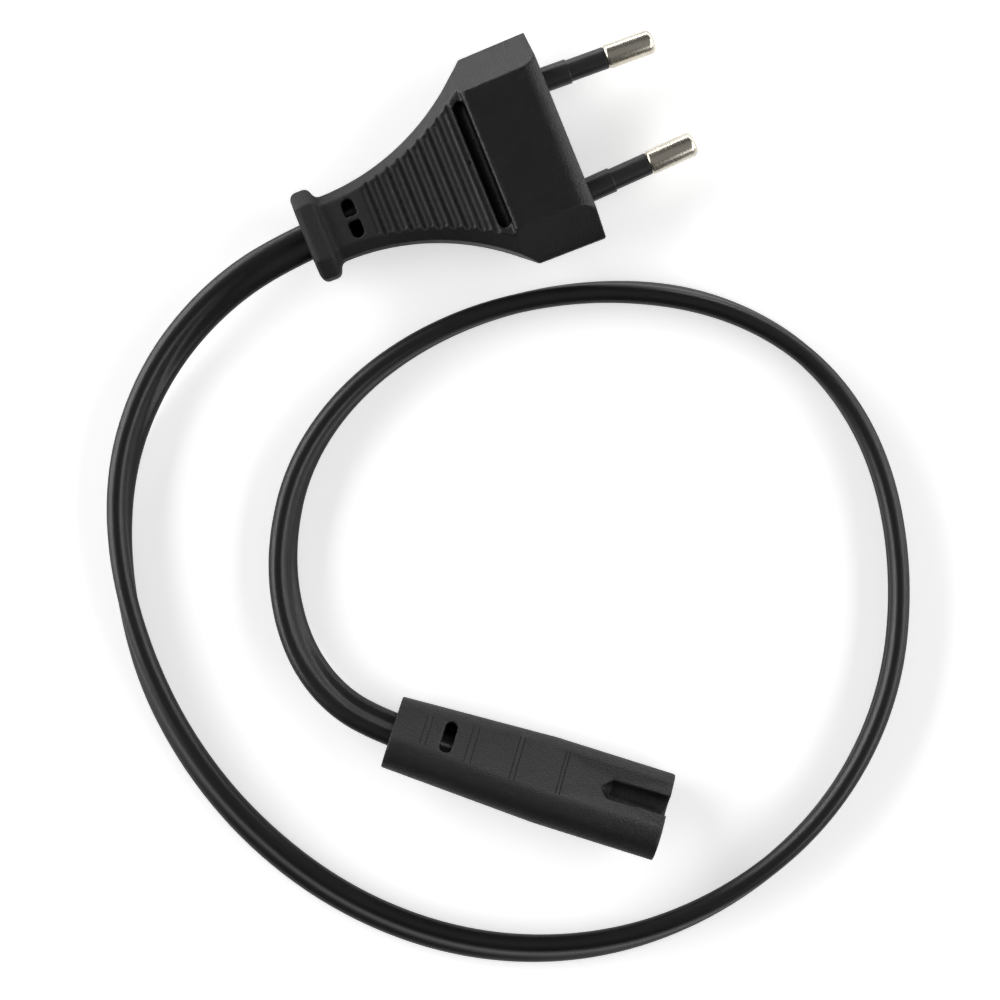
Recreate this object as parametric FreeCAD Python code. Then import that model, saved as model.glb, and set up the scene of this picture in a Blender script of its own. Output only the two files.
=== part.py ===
import FreeCAD, Part
import math
import os

# A short mains lead: a flat plug with two round pins on one end of a flat two-core cord, and a
# moulded figure-eight connector on the other end, all lying on a table. Millimetres.
# Z is up and Z = 0 is the table. The origin is on the table under the middle of the connector,
# and +X runs along the connector, out of its mating end.

V = FreeCAD.Vector
UP = V(0, 0, 1)
BEYOND = 1.0  # how far a cutting tool runs past the surface that it opens

# Cord: two insulated cores side by side in one flat sheath
CORD_WIDTH = 5.95
CORD_THICKNESS = 3.17
CORD_EDGE_FLAT = 1.3  # height of the blunt narrow side between its bevels
CORE_DIAMETER = 2.1
CORE_SIDES = 8  # eight-sided, like the sheath
CORE_PITCH = 2.6
TABLE_CLEARANCE = 0.015  # keeps the cord's underside just off the table

# Connector
CONNECTOR_LENGTH = 46.0
CONNECTOR_ROLL = 38.0  # degrees that it leans over, held by the twist of its cord
CONTACT_PITCH = 8.6
LOBE_RADIUS = 3.55  # round sides, and half the thickness
PARALLEL_LENGTH = 20.0  # length behind the mating face that keeps its full width
REAR_WIDTH = 12.8
WAIST_WIDTH = 3.7  # round-bottomed channel in each flat, which makes the figure eight
WAIST_DEPTH = 2.2
WAIST_LENGTH = 11.5
GATE_FROM_FRONT = 37.0  # middle of the core-pin window
GATE_LENGTH = 6.0
GATE_WIDTH = 2.0
CONNECTOR_CORD_SEAT = 11.4  # how deep the cord's sheath is moulded in

# Contact carrier of the connector, and its two contacts
CARRIER_LENGTH = 20.0
CARRIER_LOBE_RADIUS = 2.75
CARRIER_WEB = 2.0
MOUTH_RADIUS = 1.45
MOUTH_DEPTH = 2.6
CONTACT_BORE_RADIUS = 1.2
CONTACT_WALL = 0.4
CONTACT_CLEARANCE = 0.05
SOCKET_LENGTH = 9.0
SOCKET_SLIT = 0.5
SHANK_RADIUS = 1.1
SHANK_LENGTH = 6.0

# Plug: its own X runs out along the pins from the front face, and its own Z is up.
# Its outside is what four outlines have in common: one seen from above, one from the side and
# one square to each pair of 45 degree facets.
PLUG_FACE = V(-25.3, 100.1, 0.0)
PLUG_HEADING = 39.5
PLUG_LENGTH = 45.0
PLUG_WIDTH = 35.6
PLUG_HEIGHT = 13.7
PLUG_FACET = 5.9  # leg of the facets along the block
BLOCK_DRAFT = 0.2  # each side of the block narrows by this towards its rear
BLOCK_LENGTH = 11.5  # the concave sides start here
BLOCK_TOP_LENGTH = 13.4  # the top and bottom run a little further, to the first groove
NOSE_LENGTH = 3.0  # the top and bottom curve down towards the front face over this length
NOSE_DROP = 1.3
LIP_ROUNDING = 0.6  # rounding of the top and bottom where they end at the first groove
GRIP_HEIGHT = 12.1  # the grip starts this high, a step below the block
NECK_FROM_FACE = 40.0
NECK_WIDTH = 10.8
NECK_HEIGHT = 8.0
NECK_FACET = 1.65
FACET_ARC_RADIUS = 49.0  # concave sweep of the facets, seen along them

# Collar of the plug, where the cord leaves it
COLLAR_WIDTH = 14.9
COLLAR_HEIGHT = 10.6
COLLAR_FACET = 2.8
COLLAR_LENGTH = 3.2
COLLAR_SLOPE = 0.75  # how far the front of the bead leans back
COLLAR_ROUNDING = 1.2
NECK_FILLET = 1.2

# Finger grooves across both faces of the grip, and the two core-pin windows in each face
FIRST_GROOVE_WIDTH = 2.0  # the deep one right behind the block
FIRST_GROOVE_DEPTH = 1.3
FIRST_GROOVE_LENGTH = 21.4
GROOVE_START = 16.15
GROOVE_PITCH = 1.03
GROOVE_COUNT = 18
GROOVE_WIDTH = 0.85
COARSE_DEPTH = 0.6  # every second groove is a deeper one
FINE_DEPTH = 0.4
COARSE_OVERRUN = 0.35  # how far a coarse groove's end bites into the facet beside it
FINE_SHORTFALL = 0.3  # how far a fine groove ends before the facet
WINDOW_FROM_FACE = 36.7
WINDOW_WIDTH = 2.0
WINDOW_SPAN = 6.5  # both windows together, across the neck
WINDOW_BAR = 0.9
PLUG_CORD_SEAT = 13.0

# Pins, their sleeves and the bridge that holds them
PIN_PITCH_BASE = 19.2
PIN_PITCH_TIP = 17.8
PIN_REACH = 19.0
PIN_RADIUS = 2.0
PIN_TIP_CHAMFER = 1.0
PIN_SHOULDER = 0.6
PIN_CORE_RADIUS = 1.3
SLEEVE_LENGTH = 10.7
SLEEVE_RADIUS = 1.82
SLEEVE_BASE_RADIUS = 2.05
SLEEVE_BASE_LENGTH = 4.4
BRIDGE_FROM_FACE = 1.6
SLEEVE_END_GAP = 0.1  # between the bridge and the hidden end of each sleeve
BRIDGE_DEPTH = 8.0
BRIDGE_HEIGHT = 6.4
BRIDGE_WIDTH = 25.2

# Cord route between the plug and the connector, chosen along the lead as it lies
FLAT_CORD = CORD_THICKNESS / 2 + TABLE_CLEARANCE
CORD_ROUTE = [
    (-75.4, 52.1, 4.0),
    (-79.4, 27.4, FLAT_CORD),
    (-68.1, 0.7, FLAT_CORD),
    (-48.7, -18.4, FLAT_CORD),
    (-24.2, -29.2, FLAT_CORD),
    (4.3, -29.9, FLAT_CORD),
    (28.5, -19.0, FLAT_CORD),
    (46.3, 1.6, FLAT_CORD),
    (53.1, 26.4, FLAT_CORD),
    (48.2, 50.6, FLAT_CORD),
    (35.6, 71.4, FLAT_CORD),
    (15.0, 82.3, FLAT_CORD),
    (-10.1, 80.2, FLAT_CORD),
    (-34.7, 66.6, FLAT_CORD),
    (-49.7, 45.6, FLAT_CORD),
    (-50.0, 25.0, FLAT_CORD),
    (-43.5, 10.3, 2.6),
    (-34.0, 2.6, 4.6),
]
PLUG_EXIT_LEAD = 3.0  # straight cord behind the collar before the first bend
ARC_SHARE = 0.45  # share of the shorter run that each bend takes up

# Sizes that follow from those above
FIRST_GROOVE = BLOCK_TOP_LENGTH + FIRST_GROOVE_WIDTH / 2
CONNECTOR_FRONT = CONNECTOR_LENGTH / 2
CONNECTOR_REAR = -CONNECTOR_LENGTH / 2
CONNECTOR_HEIGHT = CONTACT_PITCH / 2 * math.sin(math.radians(CONNECTOR_ROLL)) + LOBE_RADIUS
CONTACT_OUTER_RADIUS = CONTACT_BORE_RADIUS + CONTACT_WALL
PLUG_AXIS_HEIGHT = PLUG_HEIGHT / 2
PIN_TAIL = BRIDGE_FROM_FACE + BRIDGE_DEPTH  # the pins end at the rear of the bridge
PIN_TILT = math.degrees(math.atan((PIN_PITCH_BASE - PIN_PITCH_TIP) / 2 / PIN_REACH))


def place_plug(shape):
    """Turn a piece from the plug's own frame to where the plug lies."""
    placed = shape.copy()
    placed.rotate(V(), UP, PLUG_HEADING)
    placed.translate(PLUG_FACE + UP * PLUG_AXIS_HEIGHT)
    return placed


def place_connector(shape):
    """Lean a piece of the connector over about its length and set it on the table."""
    placed = shape.copy()
    placed.rotate(V(), V(1, 0, 0), -CONNECTOR_ROLL)
    placed.translate(UP * CONNECTOR_HEIGHT)
    return placed


def both_sides(shape):
    """The shape and its mirror image on the other face."""
    return [shape, shape.mirror(V(), UP)]


def profile_revolved(profile):
    """A solid turned about the X axis from (x, radius) points."""
    wire = Part.makePolygon([V(x, r, 0) for x, r in profile + profile[:1]])
    return Part.Face(wire).revolve(V(), V(1, 0, 0), 360)


def bends_along(points):
    """Each bend of the route: where it starts, both headings, and the largest arc that fits."""
    bends = []
    for before, corner, after in zip(points, points[1:], points[2:]):
        heading = (corner - before).normalize()
        next_heading = (after - corner).normalize()
        turn = heading.getAngle(next_heading)
        cut = ARC_SHARE * min((corner - before).Length, (after - corner).Length)
        radius = cut / math.tan(turn / 2)
        bends.append((corner - heading * cut, corner + next_heading * cut, heading, next_heading, radius))
    return bends


def pushed(start, bends, end, section):
    """Push a flat section along straight runs joined by tangent arcs, and return the pieces."""
    pieces = []
    at = start
    for arc_start, arc_end, heading, next_heading, radius in bends:
        pieces.append(section.extrude(arc_start - at))
        section = section.copy()
        section.translate(arc_start - at)
        normal = heading.cross(next_heading).normalize()
        centre = arc_start + normal.cross(heading) * radius
        turn = math.degrees(heading.getAngle(next_heading))
        pieces.append(section.revolve(centre, normal, turn))
        section = section.copy()
        section.rotate(centre, normal, turn)
        at = arc_end
    pieces.append(section.extrude(end - at))
    return pieces


def flat_section(centre, heading):
    """Cross-section of the cord: flat, with bevelled narrow sides."""
    across = UP.cross(heading).normalize()
    over = heading.cross(across)
    bevel = (CORD_THICKNESS - CORD_EDGE_FLAT) / 2
    half_width = CORD_WIDTH / 2
    half_thickness = CORD_THICKNESS / 2
    corners = [
        (half_width, half_thickness - bevel),
        (half_width - bevel, half_thickness),
        (bevel - half_width, half_thickness),
        (-half_width, half_thickness - bevel),
        (-half_width, bevel - half_thickness),
        (bevel - half_width, -half_thickness),
        (half_width - bevel, -half_thickness),
        (half_width, bevel - half_thickness),
    ]
    points = [centre + across * a + over * o for a, o in corners + corners[:1]]
    return Part.Face(Part.makePolygon(points))


def plug_point(x, y=0.0, z=0.0):
    """A point given in the plug's own frame, where the plug lies."""
    return place_plug(Part.Vertex(x, y, z)).Point


def connector_point(x, y=0.0, z=0.0):
    return place_connector(Part.Vertex(x, y, z)).Point


def cord_points():
    """The whole route, from the end moulded into the plug to the end in the connector."""
    start = [plug_point(PLUG_CORD_SEAT - PLUG_LENGTH), plug_point(-PLUG_LENGTH - PLUG_EXIT_LEAD)]
    end = [connector_point(CONNECTOR_REAR), connector_point(CONNECTOR_REAR + CONNECTOR_CORD_SEAT)]
    return start + [V(*point) for point in CORD_ROUTE] + end


def make_cord():
    """The flat cord, pushed both ways from a level section in the middle of its loop."""
    points = cord_points()
    half = len(points) // 2
    middle = (points[half - 1] + points[half]) / 2
    ahead = (points[half] - points[half - 1]).normalize()
    bends = bends_along(points)
    back = [(end, start, -after, -before, radius) for start, end, before, after, radius in bends]
    section = flat_section(middle, ahead)
    pieces = pushed(middle, bends[half - 1:], points[-1], section)
    pieces += pushed(middle, back[half - 2::-1], points[0], section)
    cord = pieces[0].multiFuse(pieces[1:])
    radii = [bend[-1] for bend in bends]
    length = sum(bend[-1] * bend[2].getAngle(bend[3]) for bend in bends)
    stops = [points[0]] + [point for bend in bends for point in bend[:2]] + [points[-1]]
    length += sum((stop - start).Length for start, stop in zip(stops[::2], stops[1::2]))
    print("cord length %.1f, bends %s" % (length, [round(radius) for radius in radii]))
    print("volume %.0f, section times length %.0f" % (cord.Volume, section.Area * length))
    return cord


def pin_frame(shape, side):
    """Move a piece turned about X to one of the two pins, which lean towards each other."""
    placed = shape.copy()
    placed.rotate(V(), UP, -side * PIN_TILT)
    placed.translate(V(0, side * PIN_PITCH_BASE / 2, 0))
    return placed


def make_pin(side):
    """Solid pin: full width where it is bare, slim under its sleeve and through the bridge."""
    profile = [
        (PIN_REACH, 0),
        (PIN_REACH, PIN_RADIUS - PIN_TIP_CHAMFER),
        (PIN_REACH - PIN_TIP_CHAMFER, PIN_RADIUS),
        (SLEEVE_LENGTH + PIN_SHOULDER, PIN_RADIUS),
        (SLEEVE_LENGTH, PIN_RADIUS - PIN_SHOULDER),
        (SLEEVE_LENGTH, PIN_CORE_RADIUS),
        (-PIN_TAIL, PIN_CORE_RADIUS),
        (-PIN_TAIL, 0),
    ]
    return pin_frame(profile_revolved(profile), side)


def make_pin_sleeve(side):
    """Insulating sleeve with a thicker root, moulded round the slim part of the pin."""
    hidden_end = SLEEVE_END_GAP - BRIDGE_FROM_FACE
    profile = [
        (hidden_end, PIN_CORE_RADIUS),
        (hidden_end, SLEEVE_BASE_RADIUS),
        (SLEEVE_BASE_LENGTH, SLEEVE_BASE_RADIUS),
        (SLEEVE_BASE_LENGTH, SLEEVE_RADIUS),
        (SLEEVE_LENGTH, SLEEVE_RADIUS),
        (SLEEVE_LENGTH, PIN_CORE_RADIUS),
    ]
    return pin_frame(profile_revolved(profile), side)


def obround_prism(length, width, height):
    """Upright prism with round ends, its length along Y, standing on Z = 0."""
    straight = (length - width) / 2
    radius = width / 2
    corners = [V(radius, -straight, 0), V(radius, straight, 0), V(-radius, straight, 0), V(-radius, -straight, 0)]
    outline = Part.Wire([
        Part.LineSegment(corners[0], corners[1]).toShape(),
        Part.Arc(corners[1], V(0, straight + radius, 0), corners[2]).toShape(),
        Part.LineSegment(corners[2], corners[3]).toShape(),
        Part.Arc(corners[3], V(0, -straight - radius, 0), corners[0]).toShape(),
    ])
    return Part.Face(outline).extrude(UP * height)


def make_bridge(pins):
    """Rigid carrier inside the block that keeps both pins at their spacing."""
    corner = V(-BRIDGE_FROM_FACE - BRIDGE_DEPTH, -BRIDGE_WIDTH / 2, -BRIDGE_HEIGHT / 2)
    return Part.makeBox(BRIDGE_DEPTH, BRIDGE_WIDTH, BRIDGE_HEIGHT, corner).cut(pins)


def fillet_arc(before, corner, after, radius):
    """Start, middle and end of the arc that rounds a corner of an outline."""
    inward, outward = (before - corner).normalize(), (after - corner).normalize()
    half = inward.getAngle(outward) / 2
    start, end = corner + inward * (radius / math.tan(half)), corner + outward * (radius / math.tan(half))
    bisector = (inward + outward).normalize()
    middle = corner + bisector * (radius / math.sin(half) - radius)
    return start, middle, end


def block_edges(front, rear, block_end, grip_point, curved):
    """Outline of the block from its front face to the start of the grip. Where it is curved, it
    drops in one arc towards the front and has a rounded lip at its rear."""
    rear_corner = V(-block_end, rear, 0)
    if not curved:
        corners = [V(0, front, 0), rear_corner, grip_point]
        return [Part.LineSegment(*pair).toShape() for pair in zip(corners, corners[1:]) if pair[0] != pair[1]]
    radius = (NOSE_LENGTH ** 2 + NOSE_DROP ** 2) / (2 * NOSE_DROP)
    half_turn = math.atan(NOSE_DROP / NOSE_LENGTH)
    nose_middle = V(radius * math.sin(half_turn) - NOSE_LENGTH, front - radius * (1 - math.cos(half_turn)), 0)
    nose_end = V(-NOSE_LENGTH, front, 0)
    lip = fillet_arc(nose_end, rear_corner, grip_point, LIP_ROUNDING)
    return [
        Part.Arc(V(0, front - NOSE_DROP, 0), nose_middle, nose_end).toShape(),
        Part.LineSegment(nose_end, lip[0]).toShape(),
        Part.Arc(*lip).toShape(),
        Part.LineSegment(lip[2], grip_point).toShape(),
    ]


def plug_outline(front, rear, block_end, grip, grip_start, neck, collar, curved=False):
    """One outline of the plug above its own axis, mirrored below it. Each argument but the two
    lengths is a distance from the axis. The grip is one arc, tangent to the neck."""
    neck_start = V(-NECK_FROM_FACE, neck, 0)
    arc_radius = ((grip - neck) ** 2 + (NECK_FROM_FACE - grip_start) ** 2) / (2 * (grip - neck))
    arc_centre = V(-NECK_FROM_FACE, neck + arc_radius, 0)
    grip_point = V(-grip_start, grip, 0)
    halfway = ((grip_point - arc_centre).normalize() + V(0, -1, 0)).normalize()
    bead_front = PLUG_LENGTH - COLLAR_LENGTH
    foot = V(-bead_front + COLLAR_SLOPE, neck, 0)
    shoulder = V(-bead_front, collar, 0)
    rim = V(-PLUG_LENGTH, collar, 0)
    axis_end = V(-PLUG_LENGTH, 0, 0)
    blend = fillet_arc(neck_start, foot, shoulder, NECK_FILLET)
    bead = fillet_arc(foot, shoulder, rim, COLLAR_ROUNDING)
    end = fillet_arc(shoulder, rim, axis_end, COLLAR_ROUNDING)
    corners = [grip_point, neck_start, blend[0], blend[2], bead[0], bead[2], end[0], end[2]]
    arcs = {0: arc_centre + halfway * arc_radius, 2: blend[1], 4: bead[1], 6: end[1]}
    edges = block_edges(front, rear, block_end, grip_point, curved)
    for number, (start, stop) in enumerate(zip(corners, corners[1:])):
        if number in arcs:
            edges.append(Part.Arc(start, arcs[number], stop).toShape())
        else:
            edges.append(Part.LineSegment(start, stop).toShape())
    below = [edge.mirror(V(), V(0, 1, 0)) for edge in edges]
    front_point = V(0, front - NOSE_DROP if curved else front, 0)
    front_edge = Part.LineSegment(front_point, V(0, -front_point.y, 0)).toShape()
    rear_edge = Part.LineSegment(end[2], V(end[2].x, -end[2].y, 0)).toShape()
    return Part.Face(Part.Wire(Part.__sortEdges__(edges + below + [front_edge, rear_edge])))


def grip_height_at(from_face):
    """Half height of the grip, on the arc that meets the neck."""
    drop = (GRIP_HEIGHT - NECK_HEIGHT) / 2
    radius = (drop ** 2 + (NECK_FROM_FACE - BLOCK_TOP_LENGTH) ** 2) / (2 * drop)
    left = NECK_FROM_FACE - from_face
    return NECK_HEIGHT / 2 + radius - math.sqrt(radius ** 2 - left ** 2)


def facet_reach_at(from_face):
    """Distance of the facets from the plug's axis, square to them."""
    neck = facet_reach(NECK_WIDTH, NECK_HEIGHT, NECK_FACET)
    left = NECK_FROM_FACE - from_face
    return neck + FACET_ARC_RADIUS - math.sqrt(FACET_ARC_RADIUS ** 2 - left ** 2)


def facet_reach(width, height, facet):
    return (width / 2 + height / 2 - facet) * math.sqrt(0.5)


def make_plug_outer():
    """What the outlines from above, from the side and along both facets have in common."""
    rear_width = PLUG_WIDTH - 2 * BLOCK_DRAFT
    from_above = plug_outline(PLUG_WIDTH / 2, rear_width / 2, BLOCK_LENGTH, rear_width / 2, BLOCK_LENGTH,
                              NECK_WIDTH / 2, COLLAR_WIDTH / 2)
    from_side = plug_outline(PLUG_HEIGHT / 2, PLUG_HEIGHT / 2, BLOCK_TOP_LENGTH, GRIP_HEIGHT / 2, BLOCK_TOP_LENGTH,
                             NECK_HEIGHT / 2, COLLAR_HEIGHT / 2, curved=True)
    block_facet = facet_reach(rear_width, PLUG_HEIGHT, PLUG_FACET)
    neck_facet = facet_reach(NECK_WIDTH, NECK_HEIGHT, NECK_FACET)
    sweep = FACET_ARC_RADIUS - (block_facet - neck_facet)
    facet_start = NECK_FROM_FACE - math.sqrt(FACET_ARC_RADIUS ** 2 - sweep ** 2)
    along_facet = plug_outline(facet_reach(PLUG_WIDTH, PLUG_HEIGHT, PLUG_FACET), block_facet, facet_start,
                               block_facet, facet_start, neck_facet,
                               facet_reach(COLLAR_WIDTH, COLLAR_HEIGHT, COLLAR_FACET))
    depth = PLUG_WIDTH
    prisms = []
    for outline, turn in ((from_above, 0), (from_side, 90), (along_facet, 45), (along_facet, 135)):
        prism = outline.extrude(UP * (2 * depth))
        prism.translate(UP * -depth)
        prism.rotate(V(), V(1, 0, 0), turn)
        prisms.append(prism)
    outer = prisms[0]
    for prism in prisms[1:]:
        outer = outer.common(prism)
    return outer


def channel_tool(length, width, depth):
    """Round-bottomed channel with upright round ends, its length along Y, cut down from Z = 0."""
    radius = (width * width / 4 + depth * depth) / (2 * depth)
    bar = Part.makeCylinder(radius, length, V(0, -length / 2, radius - depth), V(0, 1, 0))
    limits = obround_prism(length, width, depth + BEYOND)
    limits.translate(UP * -depth)
    above = Part.makeBox(width, length, BEYOND, V(-width / 2, -length / 2, 0))
    return bar.fuse(above).common(limits)


def groove_tool(from_face, depth, overrun):
    """Finger groove across the top of the grip, which overruns the facets' edges by a little."""
    top = grip_height_at(from_face)
    half_length = facet_reach_at(from_face) / math.sqrt(0.5) - top + overrun
    profile = [
        (-GROOVE_WIDTH / 2, BEYOND),
        (-GROOVE_WIDTH / 2, 0),
        (0, -depth),
        (GROOVE_WIDTH / 2, 0),
        (GROOVE_WIDTH / 2, BEYOND),
    ]
    corners = [V(x - from_face, -half_length, z + top) for x, z in profile + profile[:1]]
    return Part.Face(Part.makePolygon(corners)).extrude(V(0, 2 * half_length, 0))


def groove_tools():
    """The deep groove behind the block, then the finger grooves, coarse and fine by turns."""
    first = channel_tool(FIRST_GROOVE_LENGTH, FIRST_GROOVE_WIDTH, FIRST_GROOVE_DEPTH)
    first.translate(V(-FIRST_GROOVE, 0, grip_height_at(FIRST_GROOVE)))
    tools = both_sides(first)
    for number in range(GROOVE_COUNT):
        from_face = GROOVE_START + number * GROOVE_PITCH
        if number % 2:
            tools += both_sides(groove_tool(from_face, FINE_DEPTH, -FINE_SHORTFALL))
        else:
            tools += both_sides(groove_tool(from_face, COARSE_DEPTH, COARSE_OVERRUN))
    return tools


def window_tools():
    """Two openings in each face of the neck, left by the pins that held the cord in the mould."""
    depth = NECK_HEIGHT / 2 - CORD_THICKNESS / 2 + BEYOND
    slot = obround_prism(WINDOW_SPAN, WINDOW_WIDTH, depth)
    bar = Part.makeBox(WINDOW_WIDTH, WINDOW_BAR, depth, V(-WINDOW_WIDTH / 2, -WINDOW_BAR / 2, 0))
    windows = slot.cut(bar)
    windows.translate(V(-WINDOW_FROM_FACE, 0, CORD_THICKNESS / 2))
    return both_sides(windows)


def make_plug_body(inside):
    """Soft overmoulding: block, ribbed grip, windowed neck and collar round all that it holds."""
    body = place_plug(make_plug_outer().cut(groove_tools() + window_tools()))
    return body.cut(inside)


def make_connector_outer():
    """Parallel mating end, then a straight taper to the rear, with round sides all along."""
    knee = CONNECTOR_FRONT - PARALLEL_LENGTH
    back = CONNECTOR_REAR - knee
    inset = (CONTACT_PITCH + 2 * LOBE_RADIUS - REAR_WIDTH) / 2
    half = CONTACT_PITCH / 2
    pieces = []
    for side in (-1, 1):
        circle = Part.Circle(V(knee, side * half, 0), V(1, 0, 0), LOBE_RADIUS).toShape()
        lobe = Part.Face(Part.Wire([circle]))
        pieces.append(lobe.extrude(V(PARALLEL_LENGTH, 0, 0)))
        pieces.append(lobe.extrude(V(back, -side * inset, 0)))
    plan = [
        (CONNECTOR_FRONT, half),
        (knee, half),
        (CONNECTOR_REAR, half - inset),
        (CONNECTOR_REAR, inset - half),
        (knee, -half),
        (CONNECTOR_FRONT, -half),
    ]
    flat = Part.Face(Part.makePolygon([V(x, y, -LOBE_RADIUS) for x, y in plan + plan[:1]]))
    return flat.extrude(UP * (2 * LOBE_RADIUS)).multiFuse(pieces).removeSplitter()


def waist_tool():
    """Channel from the mating face along the middle of one flat, whose bottom slopes up at its end."""
    radius = WAIST_WIDTH / 2
    axis_height = LOBE_RADIUS - WAIST_DEPTH + radius
    slope_start = CONNECTOR_FRONT - WAIST_LENGTH + radius
    open_end = CONNECTOR_FRONT + BEYOND
    bottom = profile_revolved([(slope_start - radius, 0), (slope_start, radius), (open_end, radius), (open_end, 0)])
    walls = obround_prism(2 * WAIST_LENGTH, WAIST_WIDTH, WAIST_DEPTH - radius + BEYOND)
    walls.rotate(V(), UP, 90)
    walls.translate(V(CONNECTOR_FRONT, 0, 0))
    channel = bottom.fuse(walls)
    channel.translate(UP * axis_height)
    return channel


def gate_tool():
    """Window down to the cord, left by the pin that held it in the mould."""
    tool = obround_prism(GATE_LENGTH, GATE_WIDTH, LOBE_RADIUS - CORD_THICKNESS / 2 + BEYOND)
    tool.translate(V(CONNECTOR_FRONT - GATE_FROM_FRONT, 0, CORD_THICKNESS / 2))
    return tool


def make_connector_body(inside):
    tools = both_sides(waist_tool()) + both_sides(gate_tool())
    return place_connector(make_connector_outer().cut(tools)).cut(inside)


def carrier_envelope():
    """Two round lobes and a thin web between them, flush with the mating face."""
    start = CONNECTOR_FRONT - CARRIER_LENGTH
    lobes = [
        Part.makeCylinder(CARRIER_LOBE_RADIUS, CARRIER_LENGTH, V(start, side * CONTACT_PITCH / 2, 0), V(1, 0, 0))
        for side in (-1, 1)
    ]
    corner = V(start, -CONTACT_PITCH / 2, -CARRIER_WEB / 2)
    web = Part.makeBox(CARRIER_LENGTH, CONTACT_PITCH, CARRIER_WEB, corner)
    return lobes[0].multiFuse([lobes[1], web])


def make_carrier():
    """Hard carrier: a mouth for each pin of the inlet, then a chamber for its contact."""
    chamber_radius = CONTACT_OUTER_RADIUS + CONTACT_CLEARANCE
    chamber_length = CARRIER_LENGTH - MOUTH_DEPTH + BEYOND
    tools = []
    for side in (-1, 1):
        y = side * CONTACT_PITCH / 2
        mouth_start = V(CONNECTOR_FRONT - MOUTH_DEPTH - BEYOND, y, 0)
        tools.append(Part.makeCylinder(MOUTH_RADIUS, MOUTH_DEPTH + 2 * BEYOND, mouth_start, V(1, 0, 0)))
        chamber_end = V(CONNECTOR_FRONT - MOUTH_DEPTH, y, 0)
        tools.append(Part.makeCylinder(chamber_radius, chamber_length, chamber_end, V(-1, 0, 0)))
    return carrier_envelope().cut(tools)


def make_contact(side):
    """Rolled socket with a lengthwise slit, closed at the back by a solid shank."""
    front = CONNECTOR_FRONT - MOUTH_DEPTH
    socket_end = front - SOCKET_LENGTH
    profile = [
        (front, CONTACT_BORE_RADIUS),
        (front, CONTACT_OUTER_RADIUS),
        (socket_end, CONTACT_OUTER_RADIUS),
        (socket_end, SHANK_RADIUS),
        (contact_rear(), SHANK_RADIUS),
        (contact_rear(), 0),
        (socket_end + CONTACT_WALL, 0),
        (socket_end + CONTACT_WALL, CONTACT_BORE_RADIUS),
    ]
    contact = profile_revolved(profile)
    slit_corner = V(socket_end + CONTACT_WALL, -SOCKET_SLIT / 2, 0)
    slit = Part.makeBox(SOCKET_LENGTH, SOCKET_SLIT, 2 * CONTACT_OUTER_RADIUS, slit_corner)
    contact = contact.cut(slit)
    contact.translate(V(0, side * CONTACT_PITCH / 2, 0))
    return contact


def contact_rear():
    return CONNECTOR_FRONT - MOUTH_DEPTH - SOCKET_LENGTH - SHANK_LENGTH


def make_wire(start, end):
    """One insulated core, led straight from the cut end of the sheath to a pin or contact."""
    run = end - start
    across = UP.cross(run).normalize()
    over = run.cross(across).normalize()
    corners = []
    for number in range(CORE_SIDES):
        angle = 2 * math.pi * (number + 0.5) / CORE_SIDES
        corners.append(start + (across * math.cos(angle) + over * math.sin(angle)) * (CORE_DIAMETER / 2))
    return Part.Face(Part.makePolygon(corners + corners[:1])).extrude(run)


def core_end(side, end, neighbour):
    """Middle of one core at a cut end of the cord."""
    heading = (end - neighbour).normalize()
    return end + UP.cross(heading).normalize() * (side * CORE_PITCH / 2)


def make_plug_parts(points, cord):
    """Everything that the plug holds, in place, as a dictionary of node name to solid."""
    pieces = {}
    for side, name in ((1, "left"), (-1, "right")):
        pieces["pin_" + name] = make_pin(side)
        pieces["pin_sleeve_" + name] = make_pin_sleeve(side)
    pieces["plug_bridge"] = make_bridge(list(pieces.values()))
    parts = {name: place_plug(piece) for name, piece in pieces.items()}
    for side, name in ((1, "left"), (-1, "right")):
        tail = plug_point(*pin_frame(Part.Vertex(-PIN_TAIL, 0, 0), side).Point)
        wire = make_wire(core_end(side, points[0], points[1]), tail)
        parts["plug_wire_" + name] = wire.cut([parts["pin_" + name], parts["plug_bridge"], cord])
    return parts


def make_connector_parts(points, cord):
    """Everything that the connector holds, in place."""
    parts = {"contact_carrier": place_connector(make_carrier())}
    for side, name in ((1, "left"), (-1, "right")):
        parts["contact_" + name] = place_connector(make_contact(side))
        rear = connector_point(contact_rear(), side * CONTACT_PITCH / 2)
        wire = make_wire(core_end(side, points[-1], points[-2]), rear)
        parts["connector_wire_" + name] = wire.cut([parts["contact_" + name], cord])
    return parts


def make_parts():
    points = cord_points()
    cord = make_cord()
    plug_parts = make_plug_parts(points, cord)
    connector_parts = make_connector_parts(points, cord)
    plug_inside = list(plug_parts.values()) + [cord]
    connector_inside = [part for name, part in connector_parts.items() if not name.startswith("contact")]
    connector_inside += [place_connector(carrier_envelope()), cord]
    parts = {"cord": cord, **plug_parts, **connector_parts}
    parts["plug_body"] = make_plug_body(plug_inside)
    parts["connector_body"] = make_connector_body(connector_inside)
    return parts


def write_parts(parts):
    os.makedirs("parts", exist_ok=True)
    for name, shape in sorted(parts.items()):
        solids = shape.Solids
        solid = solids[0] if len(solids) == 1 else shape
        box = solid.BoundBox
        print("%-24s solids %d valid %s volume %.1f z %.2f to %.2f"
              % (name, len(solids), solid.isValid(), solid.Volume, box.ZMin, box.ZMax))
        solid.exportStep("parts/%s.step" % name)


write_parts(make_parts())
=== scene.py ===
import math

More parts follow.
